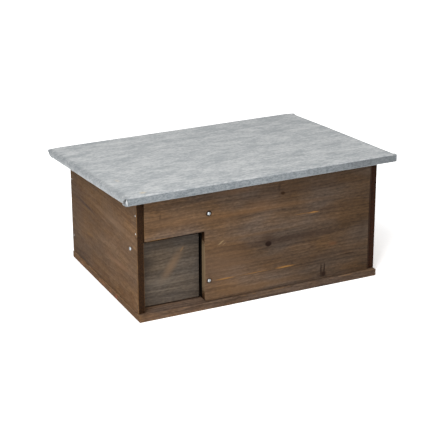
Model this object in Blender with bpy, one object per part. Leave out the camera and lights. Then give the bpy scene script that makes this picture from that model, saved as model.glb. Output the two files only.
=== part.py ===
"""A hedgehog house: a nailed fir box with a doorway in its front, a swinging entrance flap,
a partition that makes a passage to the nest chamber, and a hinged lean-to roof whose board is
wrapped in folded zinc sheet.

Metres, +Z up. The origin is on the ground under the middle of the roof, and -Y is the front.
"""
import math

import bmesh
import bpy
from mathutils import Matrix, Vector

# Clearances and edge treatment shared by all the pieces
FIT_GAP = 0.0003
EDGE_EASE = 0.0008
CUT_OVERRUN = 0.004
SHARPEST_BEND = 0.0004
EASED_ANGLE_DEG = 50
SMOOTH_ANGLE_DEG = 40

# Roof: a board wrapped in sheet, higher at the front
ROOF_WIDTH = 0.460
ROOF_LENGTH = 0.340
ROOF_TOP_HEIGHT = 0.209
ROOF_DROP = 0.027
ROOF_EDGE_HEIGHT = 0.0138
ROOF_FRONT_OVERHANG = 0.0125
ROOF_BACK_OVERHANG = 0.0395
ROOF_SIDE_OVERHANG = 0.023
SHEET_THICKNESS = 0.0006
SIDE_TOP_BEND = 0.0062
SIDE_BOTTOM_BEND = 0.0056
END_TOP_BEND = 0.0018
END_BOTTOM_BEND = 0.0016
SHEET_RETURN = 0.008
TAB_REACH_LOW = 0.0125
TAB_REACH_HIGH = 0.0035
CORNER_SLIT = 0.0012

# Floor, inside the roof's outline by the overhangs
FLOOR_THICKNESS = 0.0115

# Walls, all cut from the same board
BOARD_THICKNESS = 0.011
WALL_SIDE_INSET = 0.001
WALL_FRONT_SETBACK = 0.0065
FRONT_PROUD = 0.0025

# Doorway, sawn out of the front wall's left end
DOORWAY_WIDTH = 0.0984
DOORWAY_HEIGHT = 0.1165
DOORWAY_CORNER_RADIUS = 0.0045

# Partition that divides the passage from the nest chamber
PARTITION_SETBACK = 0.0018
PASSAGE_TURN = 0.100

# Entrance flap, hung on two screws
FLAP_THICKNESS = 0.018
FLAP_CLEAR_OF_WALL = 0.002
FLAP_CLEAR_OF_JAMB = 0.0008
FLAP_CLEAR_OF_FLOOR = 0.002
FLAP_BEHIND_FRONT = 0.008
FLAP_ABOVE_PIVOT = 0.009
FLAP_CORNER_RADIUS = 0.002
PIVOT_BELOW_LINTEL = 0.018
PIVOT_DEPTH_IN_FLAP = 0.012

# Roof hinges
HINGE_WIDTH = 0.040
HINGE_SPACING = 0.240
LEAF_LENGTH = 0.024
LEAF_THICKNESS = 0.0015
LEAF_CORNER_RADIUS = 0.003
KNUCKLE_RADIUS = 0.003
KNUCKLE_GAP = 0.0004
PIN_RADIUS = 0.00125
PIN_HEAD_RADIUS = 0.0024
PIN_HEAD_HEIGHT = 0.0008
KNUCKLES = 5
LEAF_SCREW_SPREAD_SHARE = 0.3
LEAF_SCREW_REACH_SHARE = 0.62

# Round-head screws
PAN_HEAD_RADIUS = 0.0032
PAN_HEAD_HEIGHT = 0.0019
PAN_SHANK_RADIUS = 0.00165
PARTITION_SCREW_LENGTH = 0.030
SCREW_TIP_LENGTH = 0.004
RECESS_REACH_SHARE = 0.62
RECESS_BLADE_SHARE = 0.2
RECESS_DEPTH_SHARE = 0.55
UPPER_SCREW_SHARE = 0.425
LOWER_SCREW_SHARE = 0.297

# Flat-head screws of the hinge leaves
FLAT_HEAD_RADIUS = 0.0028
FLAT_HEAD_DEPTH = 0.0014
FLAT_SHANK_RADIUS = 0.0013
FLAT_SCREW_LENGTH = 0.0090

# Wire nails
NAIL_HEAD_RADIUS = 0.0016
NAIL_HEAD_HEIGHT = 0.0006
NAIL_SHANK_RADIUS = 0.0008
NAIL_LENGTH = 0.030
NAIL_TIP_LENGTH = 0.003
FRONT_NAIL_SETBACK = 0.0021

# Where the nails sit, as shares of the height or length of the board they hold
NAIL_SHARES_OVER_DOORWAY = (0.19, 0.62)
FRONT_WALL_NAIL_SHARES = (0.14, 0.5, 0.86)
BACK_WALL_NAIL_SHARES = (0.18, 0.80)
SIDE_WALL_FLOOR_NAIL_SHARES = (0.15, 0.85)
BACK_WALL_FLOOR_NAIL_SHARES = (0.25, 0.75)
FRONT_FLOOR_NAIL_SHARES = (0.30, 0.80)
PARTITION_FLOOR_NAIL_SHARES = (0.5,)

ARC_STEPS = 4
SCREW_SIDES = 14
NAIL_SIDES = 10
KNUCKLE_SIDES = 20

# Places worked out from the sizes above
SLOPE = math.atan(ROOF_DROP / ROOF_LENGTH)
FLOOR_HALF = ROOF_WIDTH / 2 - ROOF_SIDE_OVERHANG
FLOOR_FRONT = -ROOF_LENGTH / 2 + ROOF_FRONT_OVERHANG
FLOOR_BACK = ROOF_LENGTH / 2 - ROOF_BACK_OVERHANG
FLOOR_TOP = FLOOR_THICKNESS + FIT_GAP
WALL_OUTER = FLOOR_HALF - WALL_SIDE_INSET
WALL_INNER = WALL_OUTER - BOARD_THICKNESS
WALL_FRONT = FLOOR_FRONT + WALL_FRONT_SETBACK
WALL_BACK = FLOOR_BACK
FRONT_FACE = WALL_FRONT - FRONT_PROUD
FRONT_BACK = FRONT_FACE + BOARD_THICKNESS
BACK_WALL_FRONT = WALL_BACK - BOARD_THICKNESS
BETWEEN_WALLS = WALL_INNER - FIT_GAP
JAMB = -WALL_INNER + DOORWAY_WIDTH
LINTEL = FLOOR_THICKNESS + DOORWAY_HEIGHT
PARTITION_LEFT = JAMB + PARTITION_SETBACK
PARTITION_RIGHT = PARTITION_LEFT + BOARD_THICKNESS
PARTITION_MIDDLE = PARTITION_LEFT + BOARD_THICKNESS / 2
PARTITION_FRONT = FRONT_BACK + FIT_GAP
PARTITION_BACK = BACK_WALL_FRONT - PASSAGE_TURN
FLAP_LEFT = -WALL_INNER + FLAP_CLEAR_OF_WALL
FLAP_RIGHT = JAMB - FLAP_CLEAR_OF_JAMB
PIVOT_Y = FRONT_BACK + FLAP_BEHIND_FRONT + FLAP_THICKNESS / 2
PIVOT_Z = LINTEL - PIVOT_BELOW_LINTEL
SIDE_WALL_MIDDLE = WALL_OUTER - BOARD_THICKNESS / 2
FRONT_MIDDLE = FRONT_FACE + BOARD_THICKNESS / 2
BACK_MIDDLE = WALL_BACK - BOARD_THICKNESS / 2

# The roof is drawn in its own frame, at the hinge axis and tilted with the slope
HINGE_Y = WALL_BACK + FIT_GAP + KNUCKLE_RADIUS
ROOF_BOARD_UNDER = KNUCKLE_RADIUS + FIT_GAP
ROOF_UNDER = ROOF_BOARD_UNDER - FIT_GAP - SHEET_THICKNESS
ROOF_TOP = ROOF_UNDER + ROOF_EDGE_HEIGHT
ROOF_MIDDLE_Z = (ROOF_UNDER + ROOF_TOP) / 2
ROOF_MIDDLE_Y = -(HINGE_Y + ROOF_MIDDLE_Z * math.sin(SLOPE)) / math.cos(SLOPE)
ROOF_FRONT = ROOF_MIDDLE_Y - ROOF_LENGTH / 2
ROOF_BACK = ROOF_MIDDLE_Y + ROOF_LENGTH / 2
HINGE_Z = ROOF_TOP_HEIGHT + ROOF_FRONT * math.sin(SLOPE) - ROOF_TOP * math.cos(SLOPE)


def wall_top(y):
    """Height of a wall's top edge at depth y, just under the roof board."""
    return HINGE_Z + (KNUCKLE_RADIUS - (y - HINGE_Y) * math.sin(SLOPE)) / math.cos(SLOPE)


def between(low, high, share):
    return low + (high - low) * share


def clear_scene():
    for item in list(bpy.data.objects):
        bpy.data.objects.remove(item, do_unlink=True)


def make_material(name, colour, roughness, metallic):
    material = bpy.data.materials.new(name)
    material.use_nodes = True
    shader = material.node_tree.nodes["Principled BSDF"]
    shader.inputs["Base Color"].default_value = (*colour, 1.0)
    shader.inputs["Roughness"].default_value = roughness
    shader.inputs["Metallic"].default_value = metallic
    material.diffuse_color = (*colour, 1.0)
    return material


def make_empty(name, location, tilt):
    empty = bpy.data.objects.new(name, None)
    bpy.context.collection.objects.link(empty)
    empty.location = location
    empty.rotation_euler = (tilt, 0, 0)
    return empty


def add_piece(name, mesh_data, parent, material=None):
    """Turn a bmesh into a named object; a piece without a material is a hidden cutter."""
    bmesh.ops.recalc_face_normals(mesh_data, faces=mesh_data.faces)
    mesh = bpy.data.meshes.new(name)
    mesh_data.to_mesh(mesh)
    mesh_data.free()
    piece = bpy.data.objects.new(name, mesh)
    bpy.context.collection.objects.link(piece)
    piece.parent = parent
    if material is None:
        piece.hide_render = True
        piece.display_type = 'WIRE'
    else:
        mesh.materials.append(material)
    return piece


def cut(piece, cutter, operation='DIFFERENCE'):
    modifier = piece.modifiers.new(cutter.name, 'BOOLEAN')
    modifier.operation = operation
    modifier.solver = 'EXACT'
    modifier.object = cutter


def shade_round(piece):
    piece.data.shade_smooth()
    piece.data.set_sharp_from_angle(angle=math.radians(SMOOTH_ANGLE_DEG))


def prism(outline, axis, low, high, into=None):
    """Extrude a closed outline along X, Y or Z, from low to high."""
    mesh_data = into or bmesh.new()
    place = {
        'X': lambda a, b, depth: (depth, a, b),
        'Y': lambda a, b, depth: (a, depth, b),
        'Z': lambda a, b, depth: (a, b, depth),
    }[axis]
    near = [mesh_data.verts.new(place(a, b, low)) for a, b in outline]
    far = [mesh_data.verts.new(place(a, b, high)) for a, b in outline]
    mesh_data.faces.new(near)
    mesh_data.faces.new(list(reversed(far)))
    for i in range(len(outline)):
        j = (i + 1) % len(outline)
        mesh_data.faces.new((near[j], near[i], far[i], far[j]))
    return mesh_data


def arc(centre_a, centre_b, radius, start, end, steps=ARC_STEPS):
    """Points of an arc in degrees, its two ends included."""
    points = []
    for step in range(steps + 1):
        angle = math.radians(start + (end - start) * step / steps)
        points.append((centre_a + radius * math.cos(angle), centre_b + radius * math.sin(angle)))
    return points


def rounded_outline(left, right, bottom, top, radii):
    """A rectangle with its own radius at each corner: bottom left, bottom right, top right, top left."""
    corners = ((left, bottom, 1, 1, 180), (right, bottom, -1, 1, 270),
               (right, top, -1, -1, 0), (left, top, 1, -1, 90))
    points = []
    for (a, b, side_a, side_b, start), radius in zip(corners, radii):
        if radius > 0:
            points += arc(a + side_a * radius, b + side_b * radius, radius, start, start + 90)
        else:
            points.append((a, b))
    return points


def eased(mesh_data):
    """Sand the arrises of a board: a small chamfer on every sharp edge."""
    bmesh.ops.recalc_face_normals(mesh_data, faces=mesh_data.faces)
    limit = math.radians(EASED_ANGLE_DEG)
    sharp = [edge for edge in mesh_data.edges if edge.calc_face_angle() > limit]
    bmesh.ops.bevel(mesh_data, geom=sharp, offset=EDGE_EASE, segments=1, affect='EDGES',
                    clamp_overlap=True)
    return mesh_data


def turned(profile, origin, direction, sides, into=None):
    """Revolve (radius, distance) points round an axis; the first and the last lie on the axis."""
    mesh_data = into or bmesh.new()
    turn = Vector(direction).to_track_quat('Z', 'Y').to_matrix().to_4x4()
    place = Matrix.Translation(Vector(origin)) @ turn
    rings = []
    for radius, distance in profile:
        if radius == 0:
            rings.append([mesh_data.verts.new(place @ Vector((0, 0, distance)))])
            continue
        ring = []
        for side in range(sides):
            angle = math.tau * side / sides
            ring.append(mesh_data.verts.new(
                place @ Vector((radius * math.cos(angle), radius * math.sin(angle), distance))))
        rings.append(ring)
    for lower, upper in zip(rings, rings[1:]):
        for side in range(sides):
            following = (side + 1) % sides
            corners = [lower[side % len(lower)], lower[following % len(lower)],
                       upper[following % len(upper)], upper[side % len(upper)]]
            mesh_data.faces.new(list(dict.fromkeys(corners)))
    return mesh_data


class Boards:
    """The bores that each board collects from its fasteners, cut all at once at the end."""

    def __init__(self):
        self.pieces = {}
        self.bores = {}

    def add(self, name, mesh_data, parent, material):
        self.pieces[name] = add_piece(name, mesh_data, parent, material)
        self.bores[name] = []
        return self.pieces[name]

    def bore(self, name, profile, origin, direction, sides):
        self.bores[name].append((profile, origin, direction, sides))

    def cut_all(self):
        for name, bores in self.bores.items():
            if not bores:
                continue
            mesh_data = bmesh.new()
            for profile, origin, direction, sides in bores:
                turned(profile, origin, direction, sides, into=mesh_data)
            piece = self.pieces[name]
            cut(piece, add_piece(name + "_bores", mesh_data, piece.parent))


def make_floor(boards, house, wood):
    outline = [(-FLOOR_HALF, FLOOR_FRONT), (FLOOR_HALF, FLOOR_FRONT),
               (FLOOR_HALF, FLOOR_BACK), (-FLOOR_HALF, FLOOR_BACK)]
    boards.add("floor_board", eased(prism(outline, 'Z', 0, FLOOR_THICKNESS)), house, wood)


def make_side_walls(boards, house, wood):
    outline = [(WALL_FRONT, FLOOR_TOP), (WALL_BACK, FLOOR_TOP),
               (WALL_BACK, wall_top(WALL_BACK)), (WALL_FRONT, wall_top(WALL_FRONT))]
    for name, low in (("left_side_wall", -WALL_OUTER), ("right_side_wall", WALL_INNER)):
        boards.add(name, eased(prism(outline, 'X', low, low + BOARD_THICKNESS)), house, wood)


def make_back_wall(boards, house, wood):
    outline = [(BACK_WALL_FRONT, FLOOR_TOP), (WALL_BACK, FLOOR_TOP),
               (WALL_BACK, wall_top(WALL_BACK)), (BACK_WALL_FRONT, wall_top(BACK_WALL_FRONT))]
    boards.add("back_wall", eased(prism(outline, 'X', -BETWEEN_WALLS, BETWEEN_WALLS)), house, wood)


def make_front_wall(boards, house, wood):
    """One board with the doorway sawn out of its lower left corner, and its top edge under the roof."""
    foot = arc(JAMB + DOORWAY_CORNER_RADIUS, FLOOR_TOP + DOORWAY_CORNER_RADIUS,
               DOORWAY_CORNER_RADIUS, 180, 270)
    outline = [(-BETWEEN_WALLS, LINTEL), (JAMB, LINTEL)] + foot
    outline += [(BETWEEN_WALLS, FLOOR_TOP), (BETWEEN_WALLS, ROOF_TOP_HEIGHT),
                (-BETWEEN_WALLS, ROOF_TOP_HEIGHT)]
    panel = prism(outline, 'Y', FRONT_FACE, FRONT_BACK)
    for vert in panel.verts:
        vert.co.z = min(vert.co.z, wall_top(vert.co.y))
    boards.add("front_wall", eased(panel), house, wood)


def make_partition(boards, house, wood):
    outline = [(PARTITION_FRONT, FLOOR_TOP), (PARTITION_BACK, FLOOR_TOP),
               (PARTITION_BACK, wall_top(PARTITION_BACK)),
               (PARTITION_FRONT, wall_top(PARTITION_FRONT))]
    boards.add("partition_wall", eased(prism(outline, 'X', PARTITION_LEFT, PARTITION_RIGHT)),
               house, wood)


def make_flap(boards, flap_pivot, wood):
    bottom = FLOOR_THICKNESS + FLAP_CLEAR_OF_FLOOR - PIVOT_Z
    outline = rounded_outline(FLAP_LEFT, FLAP_RIGHT, bottom, FLAP_ABOVE_PIVOT,
                              (FLAP_CORNER_RADIUS,) * 4)
    half = FLAP_THICKNESS / 2
    boards.add("entrance_flap", eased(prism(outline, 'Y', -half, half)), flap_pivot, wood)


def roof_profile(left, right, inset, bottom_bend, top_bend):
    """The outline of the roof's edge all round, drawn in by inset, with its two kinds of bend."""
    low_bend = max(bottom_bend - inset, SHARPEST_BEND)
    high_bend = max(top_bend - inset, SHARPEST_BEND)
    return rounded_outline(left + inset, right - inset, ROOF_UNDER + inset, ROOF_TOP - inset,
                           (low_bend, low_bend, high_bend, high_bend))


def roof_slab(inset):
    """Two bars whose crossing is the roof drawn in by inset: soft bends at the sides, tight at the
    front and the back."""
    half = ROOF_WIDTH / 2
    across = roof_profile(-half, half, inset, SIDE_BOTTOM_BEND, SIDE_TOP_BEND)
    along = roof_profile(ROOF_FRONT, ROOF_BACK, inset, END_BOTTOM_BEND, END_TOP_BEND)
    return (prism(across, 'Y', ROOF_FRONT - CUT_OVERRUN, ROOF_BACK + CUT_OVERRUN),
            prism(along, 'X', -half - CUT_OVERRUN, half + CUT_OVERRUN))


def make_roof_board(boards, roof, wood):
    inset = SHEET_THICKNESS + FIT_GAP
    across, along = roof_slab(inset)
    board = boards.add("roof_board", across, roof, wood)
    cut(board, add_piece("roof_board_ends", along, roof), 'INTERSECT')


def tab_reach(z):
    """How far a corner tab reaches along the side at this height in the roof's frame."""
    return between(TAB_REACH_LOW, TAB_REACH_HIGH, (z - ROOF_UNDER) / ROOF_EDGE_HEIGHT)


def make_roof_sheet(roof, zinc):
    """Fold the sheet over the board.

    The sides are rolled softly. The front and the back are bent tightly over them, and their tabs
    go round the corners and end on a slant, so each side has a tab and a slit at either end.
    """
    half = ROOF_WIDTH / 2
    across, along = roof_slab(0)
    sheet = add_piece("roof_sheet", across, roof, zinc)
    tight = roof_profile(-half, half, 0, END_BOTTOM_BEND, END_TOP_BEND)
    tabs = bmesh.new()
    for end, way in ((ROOF_FRONT, 1), (ROOF_BACK, -1)):
        prism(tight, 'Y', end - way * CUT_OVERRUN, end + way * TAB_REACH_LOW, into=tabs)
        for vert in tabs.verts:
            if abs(vert.co.y - end - way * TAB_REACH_LOW) < FIT_GAP:
                vert.co.y = end + way * tab_reach(vert.co.z)
    cut(sheet, add_piece("roof_sheet_tabs", tabs, roof), 'UNION')
    cut(sheet, add_piece("roof_sheet_ends", along, roof), 'INTERSECT')

    across, along = roof_slab(SHEET_THICKNESS)
    hollow = add_piece("roof_sheet_hollow", across, roof)
    cut(hollow, add_piece("roof_sheet_hollow_ends", along, roof), 'INTERSECT')
    cut(sheet, hollow)

    inner = half - SHEET_RETURN
    outline = [(-inner, ROOF_FRONT + SHEET_RETURN), (inner, ROOF_FRONT + SHEET_RETURN),
               (inner, ROOF_BACK - SHEET_RETURN), (-inner, ROOF_BACK - SHEET_RETURN)]
    mouth = prism(outline, 'Z', ROOF_UNDER - CUT_OVERRUN, ROOF_MIDDLE_Z)
    cut(sheet, add_piece("roof_sheet_mouth", mouth, roof))

    low = ROOF_UNDER + SIDE_BOTTOM_BEND / 2
    high = ROOF_TOP - SIDE_TOP_BEND / 2
    slits = bmesh.new()
    for end, way in ((ROOF_FRONT, 1), (ROOF_BACK, -1)):
        outline = [(end + way * (tab_reach(z) + past), z) for z, past in
                   ((low, 0), (low, CORNER_SLIT), (high, CORNER_SLIT), (high, 0))]
        prism(outline, 'X', -half - CUT_OVERRUN, SIDE_BOTTOM_BEND - half, into=slits)
        prism(outline, 'X', half - SIDE_BOTTOM_BEND, half + CUT_OVERRUN, into=slits)
    cut(sheet, add_piece("roof_sheet_slits", slits, roof))
    shade_round(sheet)


def leaf_profile():
    """Curl and plate of a hinge leaf, seen along the pin: reach along the plate, height above it."""
    plate_low = KNUCKLE_RADIUS - LEAF_THICKNESS
    meets = math.degrees(math.asin(plate_low / KNUCKLE_RADIUS))
    curl = arc(0, 0, KNUCKLE_RADIUS, 90, 360 + meets, KNUCKLE_SIDES)
    return curl + [(LEAF_LENGTH, plate_low), (LEAF_LENGTH, KNUCKLE_RADIUS)]


def make_leaf(name, owns_even, centre_x, parent, steel, to_parent):
    """One hinge leaf: the full-width curl, notched for the other leaf's knuckles, bored for the pin."""
    half = HINGE_WIDTH / 2
    leaf = prism(leaf_profile(), 'X', -half, half)
    free_corners = [edge for edge in leaf.edges
                    if all(vert.co.y > LEAF_LENGTH - FIT_GAP for vert in edge.verts)
                    and edge.verts[0].co.x == edge.verts[1].co.x]
    bmesh.ops.bevel(leaf, geom=free_corners, offset=LEAF_CORNER_RADIUS, segments=ARC_STEPS,
                    affect='EDGES')
    place = Matrix.Translation((centre_x, 0, 0)) @ to_parent

    notches = bmesh.new()
    knuckle = HINGE_WIDTH / KNUCKLES
    clear = KNUCKLE_RADIUS + KNUCKLE_GAP
    outline = [(-clear, -clear), (clear, -clear), (clear, clear), (-clear, clear)]
    for index in range(KNUCKLES):
        if (index % 2 == 0) == owns_even:
            continue
        low = -half + index * knuckle - KNUCKLE_GAP / 2
        prism(outline, 'X', low, low + knuckle + KNUCKLE_GAP, into=notches)

    reach = half + CUT_OVERRUN
    bore_radius = PIN_RADIUS + FIT_GAP
    bore = turned([(0, -reach), (bore_radius, -reach), (bore_radius, reach), (0, reach)],
                  (0, 0, 0), (1, 0, 0), SCREW_SIDES)

    holes = bmesh.new()
    for x in (-1, 1):
        turned(flat_screw_bore(), leaf_screw_place(x), (0, 0, 1), SCREW_SIDES, into=holes)

    for mesh_data in (leaf, notches, bore, holes):
        mesh_data.transform(place)
    piece = add_piece(name, leaf, parent, steel)
    for label, mesh_data in (("notches", notches), ("bore", bore), ("holes", holes)):
        cut(piece, add_piece(name + "_" + label, mesh_data, parent))
    return place


def leaf_screw_place(side):
    """Where a screw's head lies on the leaf's free face, in the leaf's own frame."""
    return (side * HINGE_WIDTH * LEAF_SCREW_SPREAD_SHARE, LEAF_LENGTH * LEAF_SCREW_REACH_SHARE,
            KNUCKLE_RADIUS - LEAF_THICKNESS)


def flat_screw_profile():
    return [(0, 0), (FLAT_HEAD_RADIUS, 0), (FLAT_SHANK_RADIUS, FLAT_HEAD_DEPTH),
            (FLAT_SHANK_RADIUS, FLAT_SCREW_LENGTH - SCREW_TIP_LENGTH), (0, FLAT_SCREW_LENGTH)]


def flat_screw_bore():
    head = FLAT_HEAD_RADIUS + FIT_GAP
    shank = FLAT_SHANK_RADIUS + FIT_GAP
    return [(0, -CUT_OVERRUN), (head, -CUT_OVERRUN), (head, 0), (shank, FLAT_HEAD_DEPTH),
            (shank, FLAT_SCREW_LENGTH + FIT_GAP), (0, FLAT_SCREW_LENGTH + FIT_GAP)]


def flat_screw_hole():
    """Pilot hole in the board behind a leaf, from just above the board's face."""
    shank = FLAT_SHANK_RADIUS + FIT_GAP
    start = LEAF_THICKNESS - FIT_GAP
    return [(0, start), (shank, start), (shank, FLAT_SCREW_LENGTH + FIT_GAP),
            (0, FLAT_SCREW_LENGTH + FIT_GAP)]


def pan_screw_profile(length):
    """Domed head above the face at distance 0, then a shank that ends in a point."""
    dome = []
    for point in arc(0, 0, 1, 90, 0):
        across, up = point
        dome.append((across * PAN_HEAD_RADIUS, -FIT_GAP - up * PAN_HEAD_HEIGHT))
    dome[0] = (0, dome[0][1])
    return dome + [(PAN_SHANK_RADIUS, -FIT_GAP), (PAN_SHANK_RADIUS, length - SCREW_TIP_LENGTH),
                   (0, length)]


def shank_bore(radius, start, end):
    return [(0, start), (radius + FIT_GAP, start), (radius + FIT_GAP, end), (0, end)]


def cross_recess(head_radius, head_top, head_height):
    """A plus-shaped plug for the driver's recess, from above the head into it."""
    reach = head_radius * RECESS_REACH_SHARE
    blade = head_radius * RECESS_BLADE_SHARE
    outline = [(reach, -blade), (reach, blade), (blade, blade), (blade, reach), (-blade, reach),
               (-blade, blade), (-reach, blade), (-reach, -blade), (-blade, -blade),
               (-blade, -reach), (blade, -reach), (blade, -blade)]
    return prism(outline, 'Z', head_top - CUT_OVERRUN, head_top + head_height * RECESS_DEPTH_SHARE)


def make_screw(name, profile, recess, origin, direction, parent, steel):
    """A screw with its head at the origin; profile and recess are drawn along +Z."""
    screw = add_piece(name, turned(profile, origin, direction, SCREW_SIDES), parent, steel)
    turn = Vector(direction).to_track_quat('Z', 'Y').to_matrix().to_4x4()
    recess.transform(Matrix.Translation(Vector(origin)) @ turn)
    cut(screw, add_piece(name + "_recess", recess, parent))
    shade_round(screw)


def make_pan_screw(name, length, origin, direction, parent, steel):
    recess = cross_recess(PAN_HEAD_RADIUS, -FIT_GAP - PAN_HEAD_HEIGHT, PAN_HEAD_HEIGHT)
    make_screw(name, pan_screw_profile(length), recess, origin, direction, parent, steel)


def make_flat_screw(name, origin, direction, parent, steel):
    recess = cross_recess(FLAT_HEAD_RADIUS, 0, FLAT_HEAD_DEPTH)
    make_screw(name, flat_screw_profile(), recess, origin, direction, parent, steel)


def make_partition_screws(boards, house, steel):
    """Two screws through the front wall into the end of the partition."""
    upper = between(LINTEL, wall_top(FRONT_FACE), UPPER_SCREW_SHARE)
    lower = between(FLOOR_TOP, LINTEL, LOWER_SCREW_SHARE)
    for name, height in (("partition_screw_upper", upper), ("partition_screw_lower", lower)):
        origin = (PARTITION_MIDDLE, FRONT_FACE, height)
        make_pan_screw(name, PARTITION_SCREW_LENGTH, origin, (0, 1, 0), house, steel)
        through = shank_bore(PAN_SHANK_RADIUS, -CUT_OVERRUN, BOARD_THICKNESS + CUT_OVERRUN)
        boards.bore("front_wall", through, origin, (0, 1, 0), SCREW_SIDES)
        blind = shank_bore(PAN_SHANK_RADIUS, 0, PARTITION_SCREW_LENGTH + FIT_GAP)
        boards.bore("partition_wall", blind, origin, (0, 1, 0), SCREW_SIDES)


def make_pivot_screws(boards, flap_pivot, steel):
    """The flap turns on a screw at each end; the screws are fast in the flap and loose in the walls."""
    spans = (("flap_pivot_screw_left", "left_side_wall", -WALL_OUTER, 1, FLAP_LEFT),
             ("flap_pivot_screw_right", "partition_wall", PARTITION_RIGHT, -1, FLAP_RIGHT))
    for name, board, face, way, flap_end in spans:
        length = abs(flap_end - face) + PIVOT_DEPTH_IN_FLAP
        direction = (way, 0, 0)
        make_pan_screw(name, length, (face, 0, 0), direction, flap_pivot, steel)
        through = shank_bore(PAN_SHANK_RADIUS, -CUT_OVERRUN, BOARD_THICKNESS + FLAP_CLEAR_OF_WALL)
        boards.bore(board, through, (face, PIVOT_Y, PIVOT_Z), direction, SCREW_SIDES)
        blind = shank_bore(PAN_SHANK_RADIUS, BOARD_THICKNESS, length + FIT_GAP)
        boards.bore("entrance_flap", blind, (face, 0, 0), direction, SCREW_SIDES)


def drive_nail(boards, name, through, into, origin, direction, house, steel):
    """A wire nail with its head sunk flush in one board and its point in the next."""
    sink = FIT_GAP
    profile = [(0, sink), (NAIL_HEAD_RADIUS, sink), (NAIL_HEAD_RADIUS, sink + NAIL_HEAD_HEIGHT),
               (NAIL_SHANK_RADIUS, sink + NAIL_HEAD_HEIGHT),
               (NAIL_SHANK_RADIUS, NAIL_LENGTH - NAIL_TIP_LENGTH), (0, NAIL_LENGTH)]
    nail = add_piece(name, turned(profile, origin, direction, NAIL_SIDES), house, steel)
    shade_round(nail)
    seat = sink + NAIL_HEAD_HEIGHT + FIT_GAP
    head = NAIL_HEAD_RADIUS + FIT_GAP
    shank = NAIL_SHANK_RADIUS + FIT_GAP
    end = NAIL_LENGTH + FIT_GAP
    stepped = [(0, -CUT_OVERRUN), (head, -CUT_OVERRUN), (head, seat), (shank, seat), (shank, end),
               (0, end)]
    boards.bore(through, stepped, origin, direction, NAIL_SIDES)
    boards.bore(into, shank_bore(NAIL_SHANK_RADIUS, seat, end), origin, direction, NAIL_SIDES)


def make_wall_nails(boards, house, steel):
    """Nails through the side walls into the ends of the front wall and the back wall."""
    front_y = FRONT_MIDDLE + FRONT_NAIL_SETBACK
    front_top = wall_top(FRONT_FACE)
    back_top = wall_top(WALL_BACK)
    rows = (("left", "front", front_y, LINTEL, front_top, NAIL_SHARES_OVER_DOORWAY),
            ("right", "front", front_y, FLOOR_TOP, front_top, FRONT_WALL_NAIL_SHARES),
            ("left", "back", BACK_MIDDLE, FLOOR_TOP, back_top, BACK_WALL_NAIL_SHARES),
            ("right", "back", BACK_MIDDLE, FLOOR_TOP, back_top, BACK_WALL_NAIL_SHARES))
    for side, end, y, low, high, shares in rows:
        way = 1 if side == "left" else -1
        for number, share in enumerate(shares, start=1):
            name = f"nail_{side}_{end}_{number}"
            origin = (-way * WALL_OUTER, y, between(low, high, share))
            drive_nail(boards, name, side + "_side_wall", end + "_wall", origin, (way, 0, 0),
                       house, steel)


def make_floor_nails(boards, house, steel):
    """Nails from below, through the floor into the foot of each standing board."""
    rows = []
    for board, x in (("left_side_wall", -SIDE_WALL_MIDDLE), ("right_side_wall", SIDE_WALL_MIDDLE)):
        rows += [(board, x, between(WALL_FRONT, WALL_BACK, share))
                 for share in SIDE_WALL_FLOOR_NAIL_SHARES]
    rows += [("back_wall", between(-BETWEEN_WALLS, BETWEEN_WALLS, share), BACK_MIDDLE)
             for share in BACK_WALL_FLOOR_NAIL_SHARES]
    rows += [("front_wall", between(JAMB, BETWEEN_WALLS, share), FRONT_MIDDLE)
             for share in FRONT_FLOOR_NAIL_SHARES]
    rows += [("partition_wall", PARTITION_MIDDLE, between(PARTITION_FRONT, PARTITION_BACK, share))
             for share in PARTITION_FLOOR_NAIL_SHARES]
    for number, (board, x, y) in enumerate(rows, start=1):
        drive_nail(boards, f"nail_floor_{number}", "floor_board", board, (x, y, 0), (0, 0, 1),
                   house, steel)


def make_hinges(boards, house, roof, steel):
    """Two butt hinges: a leaf under the roof, a leaf on the back wall, and the pin between them."""
    # In a leaf's own frame the plate runs along +Y and rests on what is above it in +Z
    to_roof = Matrix.Identity(4)
    down_the_wall = Matrix(((-1, 0, 0), (0, 0, -1), (0, -1, 0))).to_4x4()
    to_wall = Matrix.Translation((0, HINGE_Y, HINGE_Z)) @ down_the_wall
    for side, centre_x in (("left", -HINGE_SPACING / 2), ("right", HINGE_SPACING / 2)):
        wall_place = make_leaf(f"{side}_hinge_wall_leaf", True, centre_x, house, steel, to_wall)
        roof_place = make_leaf(f"{side}_hinge_roof_leaf", False, centre_x, roof, steel, to_roof)
        make_pin(f"{side}_hinge_pin", centre_x, house, steel)
        for place, parent, board, label in ((wall_place, house, "back_wall", "wall"),
                                            (roof_place, roof, "roof_board", "roof")):
            direction = place.to_3x3() @ Vector((0, 0, 1))
            for number, way in enumerate((-1, 1), start=1):
                origin = place @ Vector(leaf_screw_place(way))
                make_flat_screw(f"{side}_hinge_{label}_screw_{number}", origin, direction,
                                parent, steel)
                boards.bore(board, flat_screw_hole(), origin, direction, SCREW_SIDES)


def make_pin(name, centre_x, house, steel):
    half = HINGE_WIDTH / 2 + FIT_GAP
    profile = [(0, -half - PIN_HEAD_HEIGHT), (PIN_HEAD_RADIUS, -half - PIN_HEAD_HEIGHT),
               (PIN_HEAD_RADIUS, -half), (PIN_RADIUS, -half), (PIN_RADIUS, half),
               (PIN_HEAD_RADIUS, half), (PIN_HEAD_RADIUS, half + PIN_HEAD_HEIGHT),
               (0, half + PIN_HEAD_HEIGHT)]
    pin = add_piece(name, turned(profile, (centre_x, HINGE_Y, HINGE_Z), (1, 0, 0), SCREW_SIDES),
                    house, steel)
    shade_round(pin)


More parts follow.
